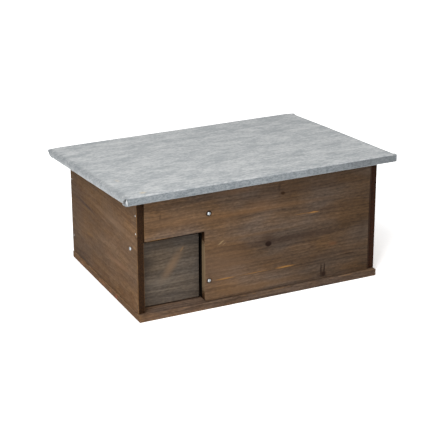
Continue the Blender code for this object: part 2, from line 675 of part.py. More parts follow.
def build():
    clear_scene()
    stained_fir = make_material("stained_fir", (0.130, 0.082, 0.049), 0.66, 0.0)
    weathered_fir = make_material("weathered_fir", (0.126, 0.098, 0.076), 0.70, 0.0)
    zinc_sheet = make_material("zinc_sheet", (0.440, 0.462, 0.474), 0.55, 0.5)
    zinc_plate = make_material("zinc_plate", (0.600, 0.620, 0.630), 0.30, 1.0)
    nail_steel = make_material("nail_steel", (0.420, 0.400, 0.370), 0.40, 1.0)

    house = make_empty("house", (0, 0, 0), 0)
    roof = make_empty("roof_hinge_axis", (0, HINGE_Y, HINGE_Z), -SLOPE)
    flap_pivot = make_empty("flap_pivot_axis", (0, PIVOT_Y, PIVOT_Z), 0)

    boards = Boards()
    make_floor(boards, house, stained_fir)
    make_side_walls(boards, house, stained_fir)
    make_back_wall(boards, house, stained_fir)
    make_front_wall(boards, house, stained_fir)
    make_partition(boards, house, stained_fir)
    make_flap(boards, flap_pivot, weathered_fir)
    make_roof_board(boards, roof, stained_fir)
    make_roof_sheet(roof, zinc_sheet)
    make_partition_screws(boards, house, zinc_plate)
    make_pivot_screws(boards, flap_pivot, zinc_plate)
    make_hinges(boards, house, roof, zinc_plate)
    make_wall_nails(boards, house, nail_steel)
    make_floor_nails(boards, house, nail_steel)
    boards.cut_all()


build()
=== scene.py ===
# %% [markdown]
# # A hedgehog house
# A small fir box for the garden: stained boards nailed together, a doorway sawn out of the left
# end of the front, a board that hangs in the doorway as a flap, and a sloping roof wrapped in
# zinc sheet. The boards come from the CAD model and stay as they are. This file gives every
# surface its finish, makes the screws and nails with their real heads, and beats the roof sheet
# into its slightly uneven shape. The CAD model is loaded first.

# %% Load the model
import math

import bmesh
import bpy
from mathutils import Matrix, Vector, noise


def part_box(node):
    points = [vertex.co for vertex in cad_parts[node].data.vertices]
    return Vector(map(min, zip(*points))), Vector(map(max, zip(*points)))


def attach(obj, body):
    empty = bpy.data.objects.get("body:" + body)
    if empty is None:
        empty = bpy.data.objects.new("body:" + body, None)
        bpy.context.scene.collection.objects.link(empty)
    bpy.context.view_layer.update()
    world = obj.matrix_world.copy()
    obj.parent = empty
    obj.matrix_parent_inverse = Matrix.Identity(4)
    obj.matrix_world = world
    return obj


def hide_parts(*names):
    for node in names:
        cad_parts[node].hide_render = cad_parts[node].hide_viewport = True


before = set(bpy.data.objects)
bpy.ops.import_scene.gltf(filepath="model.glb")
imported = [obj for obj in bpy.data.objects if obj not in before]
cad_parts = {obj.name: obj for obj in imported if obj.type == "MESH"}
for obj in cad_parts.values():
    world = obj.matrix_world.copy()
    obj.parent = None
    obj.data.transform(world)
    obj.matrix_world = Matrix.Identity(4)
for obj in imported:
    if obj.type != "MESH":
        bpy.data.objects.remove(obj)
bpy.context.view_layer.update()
MM = 0.001

# %% [markdown]
# ## The camera
# The photo looks down at the left front corner from a little over two metres away through a long
# lens, so the box keeps nearly straight sides. Lens, place and turn were worked out from the
# corners of the roof and the floor, whose real sizes are known.

# %% Camera
lens = bpy.data.cameras.new("photo_lens")
lens.lens = 121.27
lens.sensor_width = 36
camera = bpy.data.objects.new("photo_camera", lens)
bpy.context.collection.objects.link(camera)
camera.location = (-0.95408, -1.98975, 0.94172)
camera.rotation_euler = [math.radians(turn) for turn in (68.784, 0.148, -25.535)]
bpy.context.scene.camera = camera
print("camera is", round(camera.location.length, 2), "m from the house")

# %% [markdown]
# ## Three helpers
# Colours are easiest to read as the hex codes of an image editor, but a shader works with linear
# light, so one function converts them. The next adds a node to any tree, for shaders and for
# geometry alike: it takes the node's inputs in order or by name, as values or as other nodes'
# outputs, then the node's own settings, and gives back one of its outputs. The third starts a
# material with the one shader that all of them end in.

# %% Helpers
def paint(hex_colour):
    """An sRGB colour such as '#6b503b' as the linear values that a shader takes."""
    channels = [int(hex_colour[i:i + 2], 16) / 255 for i in (1, 3, 5)]
    linear = [c / 12.92 if c <= 0.04045 else ((c + 0.055) / 1.055) ** 2.4 for c in channels]
    return (*linear, 1.0)


def add(tree, kind, inputs=(), out=0, **settings):
    """Add a node, set or link its inputs, and return the output named or numbered by out."""
    made = tree.nodes.new(kind)
    for name, value in settings.items():
        setattr(made, name, value)
    for key, value in inputs.items() if isinstance(inputs, dict) else enumerate(inputs):
        if isinstance(value, bpy.types.NodeSocket):
            tree.links.new(value, made.inputs[key])
        else:
            made.inputs[key].default_value = value
    return made.outputs[out] if made.outputs else made


def new_material(name):
    """An empty material, its node tree and the shader that ends in the output."""
    material = bpy.data.materials.new(name)
    material.use_nodes = True
    tree = material.node_tree
    tree.nodes.clear()
    shader = add(tree, "ShaderNodeBsdfPrincipled").node
    add(tree, "ShaderNodeOutputMaterial", {"Surface": shader.outputs[0]})
    return material, tree, shader


MATH, VECTOR, STEP = "ShaderNodeMath", "ShaderNodeVectorMath", "ShaderNodeMapRange"
MIX, NOISE, MAPPING = "ShaderNodeMix", "ShaderNodeTexNoise", "ShaderNodeMapping"
JOIN_XYZ, SPLIT_XYZ = "ShaderNodeCombineXYZ", "ShaderNodeSeparateXYZ"
print("brown stain in linear light:", [round(c, 3) for c in paint("#6b503b")])

# %% [markdown]
# ## Marks on a surface
# A knot, a torn splinter, a stain or a scratch is one soft ellipse: long and thin for a splinter,
# round for a knot. Each mark is given by where its middle is, its half length, half width and
# angle, how hard its rim is, how strongly it covers, and its colour. A Mapping node of the kind
# Texture moves, turns and shrinks space so that the ellipse becomes a circle of radius one, and
# then the distance from the middle says how much of the mark's colour a point gets. A fine noise
# pushes the places about first, so that no rim is ruled.

# %% Marks
FAR = 1000.0
PLANES = {"XZ": ((0, 2), (0, -1, 0)), "YZ": ((1, 2), (1, 0, 0)), "XY": ((0, 1), (0, 0, 1))}


def add_marks(tree, colour, place, plane, marks, ragged=1.2 * MM):
    """Lay soft ellipses over a colour, in the XZ, YZ or XY plane of the object."""
    (first, second), turn_axis = PLANES[plane]
    tremble = add(tree, NOISE, {"Vector": place, "Scale": 260.0, "Detail": 2.0}, out="Color")
    shaken = add(tree, VECTOR, (tremble, (ragged,) * 3, place), operation="MULTIPLY_ADD")
    for middle_a, middle_b, length, width, angle, rim, cover, tone in marks:
        centre, size = [ragged / 2] * 3, [FAR] * 3
        centre[first] += middle_a
        centre[second] += middle_b
        size[first], size[second] = length, width
        turn = [math.radians(angle) * part for part in turn_axis]
        inside = add(tree, MAPPING, {"Vector": shaken, "Location": centre, "Rotation": turn,
                                     "Scale": size}, vector_type="TEXTURE")
        away = add(tree, VECTOR, (inside,), out="Value", operation="LENGTH")
        share = add(tree, STEP, (away, rim, 1.0, cover, 0.0), interpolation_type="SMOOTHSTEP")
        colour = add(tree, MIX, {0: share, 6: colour, 7: paint(tone)}, out=2, data_type="RGBA")
    return colour


print("marks can lie in the planes", *PLANES)

# %% [markdown]
# ## The stained fir
# Fir boards are sawn flat from the log, so each face shows long streaks: pale early wood, darker
# late wood, and pores too fine to see. A brown water stain sinks deeper into the pale wood, pools
# in patches, and is drunk up by end grain until that is nearly black. The eye sees a warm brown
# with darker, greyer streaks that run the length of the board and never quite repeat.
#
# Noise that is stretched along the grain makes the streaks: bands about a centimetre wide, lines
# of 3 mm and fibres of 1 mm. Real fibres are a tenth of that, but would not show at this
# distance. Short flecks between them are the torn fibres of a sawn face, and rings round an axis
# some 9 cm behind the board are the year rings. Object coordinates are in metres, so a width of
# 3 mm is a scale of 1 / 0.003.

# %% The figure of the wood
GRAIN = {"X": ((0, 0, 0), (1, 0, 0)), "Y": ((0, 0, math.radians(-90)), (0, 1, 0))}
STREAKS = ((12 * MM, 26.0, 4.0, 0.40), (3.0 * MM, 30.0, 3.0, 0.16), (2.2 * MM, 2.5, 3.0, 0.24),
           (1.1 * MM, 24.0, 2.0, 0.14))
YEAR = 5.5 * MM


def wood_figure(tree, place, grain, seed):
    """How dark the wood's streaks are at a point, from 0 to 1, and its fibres alone."""
    along = add(tree, MAPPING, {"Vector": place, "Rotation": GRAIN[grain][0],
                                "Location": (seed * 0.37, seed * 0.21, seed * 0.13)})
    # A slow wander of a few millimetres, some 15 cm long, so that no line is ruled
    slow = add(tree, MAPPING, {"Vector": along, "Scale": (6.0, 22.0, 22.0)})
    wander = add(tree, NOISE, {"Vector": slow, "Scale": 1.0, "Detail": 2.0}, out="Color")
    swayed = add(tree, VECTOR, (wander, (0.0, 16 * MM, 16 * MM), along), operation="MULTIPLY_ADD")

    axis = add(tree, MAPPING, {"Vector": swayed, "Scale": (0.12, 1.0, 1.0),
                               "Location": (0.0, 0.09 - seed * 0.21, 0.02 - seed * 0.13)})
    rings = add(tree, "ShaderNodeTexWave", {
        "Vector": axis, "Scale": math.tau / (20 * YEAR), "Distortion": 5.0, "Detail": 3.0,
        "Detail Scale": 1.5}, out=1, wave_type="RINGS", rings_direction="X", wave_profile="SAW")
    figure = add(tree, MATH, (rings, 0.10), operation="MULTIPLY")
    for width, stretch, detail, share in STREAKS:
        drawn = add(tree, MAPPING, {"Vector": swayed,
                                    "Scale": (1 / (width * stretch), 1 / width, 1 / width)})
        streak = add(tree, NOISE, {"Vector": drawn, "Scale": 1.0, "Detail": detail,
                                   "Roughness": 0.6})
        figure = add(tree, MATH, (streak, share, figure), operation="MULTIPLY_ADD")
    return add(tree, STEP, (figure, 0.34, 0.70), interpolation_type="SMOOTHSTEP"), streak


print("the widest streaks are", STREAKS[0][0] / MM, "mm wide")

# %% [markdown]
# Worn arrises show paler wood in places: the distance to the board's nearest edge is found from
# its box. Of the three distances to its sides the smallest is nearly nothing on any face, so the
# middle one is the one that counts.

# %% Edges of a board
def edge_distance(tree, place, low, high):
    """How far a point on a board's surface is from the nearest edge."""
    middle = (Vector(low) + Vector(high)) / 2
    half = (Vector(high) - Vector(low)) / 2
    offset = add(tree, VECTOR, (place, middle), operation="SUBTRACT")
    away = add(tree, VECTOR, (offset,), operation="ABSOLUTE")
    left = add(tree, VECTOR, (half, away), operation="SUBTRACT")
    x, y, z = add(tree, SPLIT_XYZ, (left,)).node.outputs
    smaller = add(tree, MATH, (x, y), operation="MINIMUM")
    larger = add(tree, MATH, (x, y), operation="MAXIMUM")
    other = add(tree, MATH, (larger, z), operation="MINIMUM")
    return add(tree, MATH, (smaller, other), operation="MAXIMUM")


print("an arris is worn over about a millimetre")

# %% [markdown]
# One function finishes one board. No two boards come from the same part of the log or took the
# stain alike, so each has its own seed, four tones from dark to pale, and its own marks. The
# stain's patches are a slow change of brightness and of how brown or grey the wood is. A board
# may also get darker towards one end; that slope is partly its own tone and partly painted
# light falloff. Dry stained wood is matt: a roughness about 0.7 and little gloss.

# %% A stained board
TONE_STOPS = (0.0, 0.36, 0.68, 1.0)
PATCH, SPECK, PORE, RUBBED = 45 * MM, 3 * MM, 1.6 * MM, 16 * MM
WORN_WOOD = "#9a7650"


def stained_fir(node, grain, seed, tones, ends, light_and_tone_slope=None, plane="XZ", marks=(), grey=0.75):
    """Finish a CAD board, or a piece made from it, in brown-stained fir."""
    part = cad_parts[node] if isinstance(node, str) else node
    material, tree, shader = new_material("stained_fir_" + part.name)
    place = add(tree, "ShaderNodeTexCoord", out="Object")
    figure, fibres = wood_figure(tree, place, grain, seed)
    colour = add(tree, "ShaderNodeValToRGB", (figure,))
    stops = colour.node.color_ramp.elements
    stops.remove(stops[1])
    for position, tone in zip(TONE_STOPS, reversed(tones)):
        stop = stops[0] if position == 0.0 else stops.new(position)
        stop.color = paint(tone)

    # Patches of stain some 4 cm across, longer along the grain
    drawn = add(tree, MAPPING, {"Vector": place, "Location": (seed, 0.0, 0.0),
                                "Scale": (0.5, 1.0, 1.0) if grain == "X" else (1.0, 0.5, 1.0)})
    patches = add(tree, NOISE, {"Vector": drawn, "Scale": 1 / PATCH, "Detail": 3.0}, out="Color")
    light, brown, _ = add(tree, "ShaderNodeSeparateColor", (patches,)).node.outputs
    value = add(tree, STEP, (light, 0.28, 0.72, 0.82, 1.14))
    # Torn fibres leave darker and paler specks: 3 mm wide, for finer ones would not show here
    specks = add(tree, NOISE, {"Vector": drawn, "Scale": 1 / SPECK, "Detail": 2.0})
    specks = add(tree, STEP, (specks, 0.30, 0.70, 0.82, 1.18))
    value = add(tree, MATH, (value, specks), operation="MULTIPLY")
    # Painted light falloff, partly the board's own tone: brightness slopes along one axis
    if light_and_tone_slope:
        axis, start, end, brighter, darker = light_and_tone_slope
        spot = add(tree, SPLIT_XYZ, (place,), out=axis)
        slope = add(tree, STEP, (spot, start, end, brighter, darker))
        value = add(tree, MATH, (value, slope), operation="MULTIPLY")
    saturation = add(tree, STEP, (brown, 0.36, 0.64, grey, 1.06))
    colour = add(tree, "ShaderNodeHueSaturation", {"Saturation": saturation, "Value": value,
                                                   "Color": colour})

    # End grain: wherever the surface faces along the grain
    facing = add(tree, "ShaderNodeNewGeometry", out="Normal")
    toward = add(tree, VECTOR, (facing, GRAIN[grain][1]), out="Value", operation="DOT_PRODUCT")
    square = add(tree, MATH, (toward, toward), operation="MULTIPLY")
    end_grain = add(tree, STEP, (square, 0.4, 0.8), interpolation_type="SMOOTHSTEP")
    pores = add(tree, NOISE, {"Vector": place, "Scale": 1 / PORE, "Detail": 3.0})
    pores = add(tree, STEP, (pores, 0.35, 0.65))
    end_colour = add(tree, MIX, {0: pores, 6: paint(ends[0]), 7: paint(ends[1])}, out=2,
                     data_type="RGBA")
    colour = add(tree, MIX, {0: end_grain, 6: colour, 7: end_colour}, out=2, data_type="RGBA")

    # Worn arrises, in patches
    if isinstance(node, str):
        rubbed = add(tree, NOISE, {"Vector": place, "Scale": 1 / RUBBED, "Detail": 4.0})
        rubbed = add(tree, STEP, (rubbed, 0.46, 0.62))
        near = add(tree, STEP, (edge_distance(tree, place, *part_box(node)), 0.1 * MM, 1.3 * MM,
                                0.8, 0.0), interpolation_type="SMOOTHSTEP")
        worn = add(tree, MATH, (near, rubbed), operation="MULTIPLY")
        colour = add(tree, MIX, {0: worn, 6: colour, 7: paint(WORN_WOOD)}, out=2,
                     data_type="RGBA")
    colour = add_marks(tree, colour, place, plane, marks)

    relief = add(tree, MATH, (figure, 0.35, fibres), operation="MULTIPLY_ADD")
    bump = add(tree, "ShaderNodeBump", {"Height": relief, "Strength": 0.45,
                                        "Distance": 0.25 * MM})
    rough = add(tree, STEP, (fibres, 0.3, 0.7, 0.62, 0.80))
    tree.links.new(colour, shader.inputs["Base Color"])
    tree.links.new(rough, shader.inputs["Roughness"])
    tree.links.new(bump, shader.inputs["Normal"])
    shader.inputs["IOR"].default_value = 1.5
    shader.inputs["Specular IOR Level"].default_value = 0.1
    part.data.materials.clear()
    part.data.materials.append(material)
    print(part.name, "is finished with", len(tree.nodes), "nodes")


BROWN = ("#564334", "#66503d", "#755b44", "#85684d")
ENDS = ("#25160b", "#3f2814")

# %% [markdown]
# ### The front wall
# The front is one wide board. Its marks are where the photo shows them: two knots, a split with
# two dark tongues at the bottom right, a dark resin streak beside it, and splinters torn out
# along the grain, where raw orange wood shows. The doorway's edges are pale. The dark strip at
# the right is wider in the photo than the side wall's edge, so a dark line is painted beside it.

# %% Front wall
RAW, KNOT, DUSK = "#b5834a", "#22130b", "#402f25"
KNOTS = ((0.0122, 0.0890, 0.0068, 0.0056, 0, 0.60, 1.0, KNOT),
         (0.0366, 0.1685, 0.0056, 0.0040, -15, 0.35, 0.95, "#33200f"),
         (0.0120, 0.0990, 0.0170, 0.0120, 0, 0.0, 0.55, DUSK),
         (0.0300, 0.1800, 0.0110, 0.0040, 83, 0.0, 0.70, "#43342a"),
         (0.0200, 0.1790, 0.0140, 0.0060, 0, 0.0, 0.40, "#4a3e35"))
SPLIT = ((0.1115, 0.0195, 0.0070, 0.0072, 0, 0.25, 0.95, "#2c1b12"),
         (0.1070, 0.0270, 0.0170, 0.0020, 90, 0.20, 0.95, "#2a1b13"),
         (0.1130, 0.0280, 0.0155, 0.0018, 88, 0.20, 0.95, "#2a1b13"),
         (0.1040, 0.0195, 0.0070, 0.0032, 0, 0.0, 0.60, DUSK),
         (0.1580, 0.0468, 0.0200, 0.0024, 0, 0.20, 0.85, "#38291f"),
         (0.1480, 0.0510, 0.0220, 0.0036, 0, 0.0, 0.45, DUSK),
         (0.0900, 0.0700, 0.0110, 0.0036, 18, 0.0, 0.55, DUSK),
         (-0.1690, 0.1635, 0.0090, 0.0022, 80, 0.0, 0.50, DUSK),
         (-0.1580, 0.1600, 0.0130, 0.0045, 12, 0.0, 0.30, DUSK))
TORN = ((-0.0620, 0.0445, 0.0220, 0.0017, 0, 0.20, 0.90, RAW),
        (-0.0100, 0.0447, 0.0400, 0.0010, 0, 0.10, 0.65, RAW),
        (0.0420, 0.0449, 0.0230, 0.0020, 0, 0.25, 0.9, RAW),
        (0.0910, 0.1282, 0.0140, 0.0019, 0, 0.20, 0.90, RAW),
        (0.0700, 0.1287, 0.0240, 0.0010, 0, 0.0, 0.50, RAW),
        (-0.0690, 0.1053, 0.0082, 0.0019, 33, 0.20, 0.85, "#b3956d"),
        (-0.0640, 0.1025, 0.0055, 0.0012, 33, 0.10, 0.55, "#a98c66"),
        (-0.1720, 0.1279, 0.0300, 0.0017, 0, 0.20, 0.90, "#c08a4c"),
        (-0.0986, 0.0690, 0.0620, 0.0032, 90, 0.80, 0.95, "#927c60"))
BANDS = ((-0.0650, 0.0650, 0.0700, 0.0600, 0, 0.0, 0.45, "#8f7056"),
         (0.0500, 0.0920, 0.1500, 0.0110, 0, 0.0, 0.65, DUSK),
         (0.1200, 0.1310, 0.1000, 0.0055, 0, 0.0, 0.45, DUSK),
         (0.0600, 0.1720, 0.1500, 0.0110, 0, 0.0, 0.35, DUSK),
         (0.0700, 0.0530, 0.1000, 0.0060, 0, 0.0, 0.30, DUSK),
         (-0.0300, 0.1480, 0.2100, 0.0065, 0, 0.0, 0.45, "#8d6846"),
         (-0.0100, 0.1090, 0.1200, 0.0050, 0, 0.0, 0.35, "#876646"),
         (-0.0200, 0.0660, 0.1000, 0.0060, 0, 0.0, 0.35, "#86664a"),
         (-0.0100, 0.0220, 0.1400, 0.0095, 0, 0.0, 0.50, "#8f6d4c"),
         (0.1270, 0.0690, 0.0130, 0.0050, 0, 0.0, 0.40, "#8a5c3c"),
         (-0.1500, 0.1560, 0.0600, 0.0200, 0, 0.0, 0.25, "#9c7b5e"),
         (-0.0450, 0.1850, 0.0700, 0.0080, 0, 0.0, 0.50, "#8c6a4e"),
         (0.0000, 0.1560, 0.0450, 0.0140, 0, 0.0, 0.30, "#86603f"),
         (0.0000, 0.1010, 0.0300, 0.0120, 0, 0.0, 0.25, "#5a3d24"),
         (0.1780, 0.0750, 0.0700, 0.0160, 90, 0.0, 0.30, "#3a2b20"),
         (0.1945, 0.1050, 0.1500, 0.0034, 90, 0.55, 0.92, "#2c1a10"))
# Painted shade: a dark ring round each pan screw's head on the front wall
SCREW_SHADE_RINGS = ((-0.0893, 0.1563, 0.0060, 0.0056, 0, 0.62, 0.90, "#261b14"),
               (-0.0893, 0.0463, 0.0056, 0.0052, 0, 0.60, 0.60, "#2b2018"))
stained_fir("front_wall", "X", 1.0, BROWN, ENDS, light_and_tone_slope=(0, -0.19, 0.19, 1.34, 0.66),
            marks=BANDS + KNOTS + SPLIT + TORN + SCREW_SHADE_RINGS)

# %% [markdown]
# ### The side walls, the floor and the inner boards
# The side walls' grain runs from front to back, so their front edges are end grain and stand as
# dark strips beside the front. The left wall has a long dark streak at half its height. The
# gap beside the flap is nearly black in the photo, so the partition's front end is painted dark.

# %% Side walls, floor and inner boards
LEFT_MARKS = ((0.0620, 0.1155, 0.0800, 0.0042, 3.5, 0.0, 0.85, "#3b2e25"),
              (-0.0600, 0.1105, 0.0800, 0.0016, 0, 0.0, 0.35, "#574536"),
              (-0.0600, 0.1290, 0.0900, 0.0120, 0, 0.0, 0.50, "#92755b"),
              (-0.0200, 0.1190, 0.0350, 0.0030, 3, 0.0, 0.40, "#98795f"),
              (-0.0800, 0.0665, 0.0800, 0.0065, -3, 0.0, 0.50, "#977357"),
              (0.0300, 0.0960, 0.0700, 0.0130, 2, 0.0, 0.45, "#56412f"),
              (0.0850, 0.0155, 0.0550, 0.0028, 0, 0.0, 0.65, "#33261d"),
              (0.1210, 0.0405, 0.0050, 0.0060, 0, 0.20, 0.60, "#3d2d22"),
              (-0.1410, 0.1165, 0.0080, 0.0045, 0, 0.0, 0.55, "#a27a4c"),
              (0.1050, 0.1500, 0.0140, 0.0120, 0, 0.0, 0.40, "#4a392c"),
              (0.0500, 0.0700, 0.0280, 0.0030, -6, 0.0, 0.45, "#8f6c40"),
              (0.0900, 0.1150, 0.0450, 0.0450, 0, 0.0, 0.25, "#553821"))
stained_fir("left_side_wall", "Y", 3.0, ("#5c432e", "#6c4f35", "#775a3e", "#836446"), ENDS,
            grey=0.92, light_and_tone_slope=(1, -0.14, 0.13, 1.13, 0.66), plane="YZ", marks=LEFT_MARKS)
stained_fir("right_side_wall", "Y", 4.0, BROWN, ("#1c0e06", "#3a1d0c"), plane="YZ")
FLOOR_MARKS = ((0.0065, 0.0060, 0.0080, 0.0050, 0, 0.0, 0.70, "#a87a55"),
               (-0.0174, 0.0060, 0.0060, 0.0050, 0, 0.0, 0.60, "#5f432e"),
               (-0.0389, 0.0060, 0.0070, 0.0050, 0, 0.0, 0.70, "#a5744f"),
               (-0.0633, 0.0060, 0.0055, 0.0050, 0, 0.0, 0.85, "#b5674a"),
               (-0.0829, 0.0060, 0.0050, 0.0050, 0, 0.0, 0.60, "#5f432e"),
               (-0.0080, 0.0065, 0.0160, 0.0050, 0, 0.0, 0.60, "#a3744f"),
               (0.0400, 0.0060, 0.0120, 0.0050, 0, 0.0, 0.50, "#5a402c"),
               (0.0850, 0.0060, 0.0160, 0.0045, 0, 0.0, 0.60, "#a87a52"))
stained_fir("floor_board", "X", 5.0, ("#47372a", "#604937", "#765a43", "#8a6a4c"),
            ("#573f29", "#826241"), light_and_tone_slope=(0, -0.19, 0.19, 1.24, 0.78), plane="YZ",
            marks=FLOOR_MARKS)
stained_fir("back_wall", "X", 6.0, BROWN, ENDS)
# Painted shade: the partition's front end is nearly black, for the deep shade of the gap beside the
# flap
PARTITION_PAINTED_SHADE = ((-0.1420, 0.0700, 0.0800, 0.0160, 90, 0.85, 1.0, "#0c0805"),)
stained_fir("partition_wall", "Y", 7.0, ("#3a2c21", "#4c3a2b", "#5b4634", "#6b533e"), ENDS,
            plane="YZ", marks=PARTITION_PAINTED_SHADE)

# %% [markdown]
# ### The flap
# The board in the doorway is greyer than the rest. A pale brown smear crosses it from the
# lower left to the upper right, and thin pale lines run along its lower half. Painted shade
# darkens it along its top under the lintel and on its left beside the left wall.

# %% Flap
# The first three marks and the last are painted shade: under the lintel and beside the left wall
FLAP_MARKS_AND_SHADE = ((-0.1830, 0.0830, 0.0200, 0.0150, 0, 0.0, 0.60, "#443c36"),
              (-0.1500, 0.1200, 0.0700, 0.0140, 0, 0.0, 0.65, "#463e37"),
              (-0.1700, 0.1080, 0.0400, 0.0060, 0, 0.0, 0.35, "#463e37"),
              (-0.1430, 0.0750, 0.0450, 0.0120, 55, 0.0, 0.80, "#8f755c"),
              (-0.1260, 0.0980, 0.0070, 0.0022, 55, 0.0, 0.60, "#b08a62"),
              (-0.1660, 0.0520, 0.0300, 0.0110, 0, 0.0, 0.45, "#85796b"),
              (-0.1500, 0.0455, 0.0480, 0.0018, 0, 0.0, 0.45, "#978a7a"),
              (-0.1550, 0.0360, 0.0420, 0.0016, 0, 0.0, 0.40, "#978a7a"),
              (-0.1130, 0.0850, 0.0060, 0.0030, -20, 0.10, 0.50, "#4c4037"),
              (-0.1150, 0.1080, 0.0180, 0.0080, 0, 0.0, 0.40, "#4a4139"))
stained_fir("entrance_flap", "X", 9.0, ("#584d43", "#65594d", "#746657", "#827363"),
            ("#2f261e", "#443629"), marks=FLAP_MARKS_AND_SHADE, grey=0.65)

# %% [markdown]
# ## The roof sheet
# The roof is one zinc-coated sheet, rolled softly over the long board's sides and folded tightly
# at the front and the back, with a tab round each corner. The CAD sheet has those bends, but it
# is perfectly even, and hand-folded sheet never is. So a copy of its mesh is laid flat, cut into
# a fine net, and pushed in by up to a millimetre and a half along its edges; at the back
# corners the sheet was tucked under by some 3 mm. The board inside gets the same treatment,
# so it stays inside the sheet. All pushes go inwards, because the CAD box is the
# real one. Each point also remembers how far down the front or back edge it is, for the finish.

# %% Beat the roof sheet
ROOF_DROP, ROOF_LENGTH, ROOF_WIDTH, EDGE_HEIGHT = 0.027, 0.340, 0.460, 0.0138
NET = 7 * MM
SAG, TUCK, NIP, DENT = 1.2 * MM, 3.0 * MM, 0.5 * MM, 0.35 * MM
low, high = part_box("roof_sheet")
to_middle = Matrix.Translation((Vector(low) + Vector(high)) / -2)
lay_flat = Matrix.Rotation(math.atan2(ROOF_DROP, ROOF_LENGTH), 4, "X") @ to_middle


def ramp_down(distance, reach):
    """1 at an edge, falling smoothly to 0 at a given distance from it."""
    share = min(max(1 - distance / reach, 0.0), 1.0)
    return share * share * (3 - 2 * share)


def beat(point):
    """Push one point of the flat-laid roof as the folder's mallet did."""
    side = ROOF_WIDTH / 2 - abs(point.x)
    back = ROOF_LENGTH / 2 - point.y
    front = ROOF_LENGTH / 2 + point.y
    depth = min(max(0.5 - point.z / EDGE_HEIGHT, 0.0), 1.0)
    dent = 0.5 + 0.5 * noise.noise(Vector((point.x * 14, point.y * 14, 3.0)))
    small = 0.5 + 0.5 * noise.noise(Vector((point.x * 45, point.y * 45, 8.0)))
    inward = math.copysign(1.0, -point.x)
    sag = SAG * ramp_down(side, 16 * MM) * (0.15 + 0.85 * ramp_down(back, 0.13))
    tuck = TUCK * ramp_down(back, 26 * MM) * ramp_down(side, 26 * MM) * depth * depth
    nip = NIP * ramp_down(front, 10 * MM) * ramp_down(side, 7 * MM)
    point.z -= (sag + nip) * (1 - depth) + DENT * dent * (1 - depth)
    point.x += inward * (tuck + 0.5 * MM * small * depth * ramp_down(side, 10 * MM))
    point.y -= 0.6 * tuck
    point.y += 0.7 * MM * small * ramp_down(front, 3 * MM) * depth
    point.y -= 0.7 * MM * small * ramp_down(back, 3 * MM) * depth


def beaten_copy(node, name):
    """A copy of a CAD roof part, cut into a net and beaten, in its place."""
    net = bmesh.new()
    net.from_mesh(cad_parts[node].data)
    bmesh.ops.remove_doubles(net, verts=net.verts, dist=0.01 * MM)
    net.transform(lay_flat)
    bmesh.ops.dissolve_limit(net, angle_limit=math.radians(1), verts=net.verts, edges=net.edges)
    for axis, length in (((1, 0, 0), ROOF_WIDTH), ((0, 1, 0), ROOF_LENGTH)):
        cuts = int(length / NET)
        for cut in range(1, cuts):
            at = Vector(axis) * (cut / cuts - 0.5) * length
            everything = net.verts[:] + net.edges[:] + net.faces[:]
            bmesh.ops.bisect_plane(net, geom=everything, plane_co=at, plane_no=axis,
                                   dist=0.001 * MM)
    skirt = net.verts.layers.float.new("edge_depth")
    for vert in net.verts:
        nearest = ROOF_LENGTH / 2 - abs(vert.co.y)
        vert[skirt] = (0.5 - vert.co.z / EDGE_HEIGHT) * ramp_down(nearest - 1 * MM, 3 * MM)
        beat(vert.co)
    bmesh.ops.triangulate(net, faces=[face for face in net.faces if len(face.verts) > 4])
    net.transform(lay_flat.inverted())
    mesh = bpy.data.meshes.new(name)
    net.to_mesh(mesh)
    net.free()
    mesh.shade_smooth()
    mesh.set_sharp_from_angle(angle=math.radians(42))
    piece = bpy.data.objects.new(name, mesh)
    bpy.context.collection.objects.link(piece)
    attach(piece, "roof")
    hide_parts(node)
    print(name, "has", len(mesh.polygons), "faces")
    return piece


folded_sheet = beaten_copy("roof_sheet", "folded_roof_sheet")
inner_board = beaten_copy("roof_board", "wrapped_roof_board")
stained_fir(inner_board, "X", 8.0, ("#524032", "#614a38", "#6f553f", "#7d6148"), ENDS)

# %% [markdown]
# ## The metals
# The roof is galvanised sheet gone dull: hot-dipped, rolled and left in the air until the zinc
# turned a soft blue-grey. The eye gets fine streaks along the rolling direction, clouds a few
# centimetres across, and almost no mirror in it. Zinc carbonate is not a metal any more, so the
# surface is only partly metallic. Bent edges are darker, partly a fine crinkled mottle and
# partly painted shade, and the lower rim is pale, partly a rubbed cut edge and partly a painted
# highlight.

# %% Galvanised sheet
CLOUDS = (((20 * MM, 4.5 * MM, 4.5 * MM), 5.0, 0.34), ((46 * MM, 24 * MM, 24 * MM), 3.0, 0.30),
          ((5 * MM, 3 * MM, 3 * MM), 4.0, 0.36))
ROOF_STAINS = ((0.0900, -0.0950, 0.0340, 0.0100, 0, 0.0, 0.55, "#8b9194"),
               (0.1400, 0.0750, 0.0380, 0.0240, 0, 0.0, 0.35, "#8f9599"),
               (-0.1080, -0.0420, 0.0300, 0.0110, 0, 0.0, 0.40, "#92989a"),
               (0.1750, -0.0620, 0.0300, 0.0120, 0, 0.0, 0.40, "#8e9296"),
               (0.1500, -0.1120, 0.0340, 0.0090, 0, 0.0, 0.35, "#8d9094"),
               (0.0100, 0.1150, 0.0400, 0.0200, 0, 0.0, 0.30, "#8f9598"),
               (-0.1970, -0.1560, 0.0080, 0.0070, 20, 0.0, 0.55, "#d6c39c"),
               (-0.2050, -0.0760, 0.0050, 0.0120, 0, 0.0, 0.30, "#d4c3a6"))
SHEET, BENT_MOTTLE_AND_SHADE = ("#a1a6a9", "#c9cbcb"), ("#70787d", "#999fa3")
ROLLED_MOTTLE_AND_SHADE, RIM_WEAR_AND_HIGHLIGHT = "#7b8185", "#b4b9bc"
SIDE_FACE, FRONT_FACE = (-0.2272, -0.2266), (-0.1690, -0.1680)
CORNER_SLIT_SHADOW = ((-0.1656, 0.2018, 0.0080, 0.0026, -52, 0.60, 1.0, "#0c0e10"),)
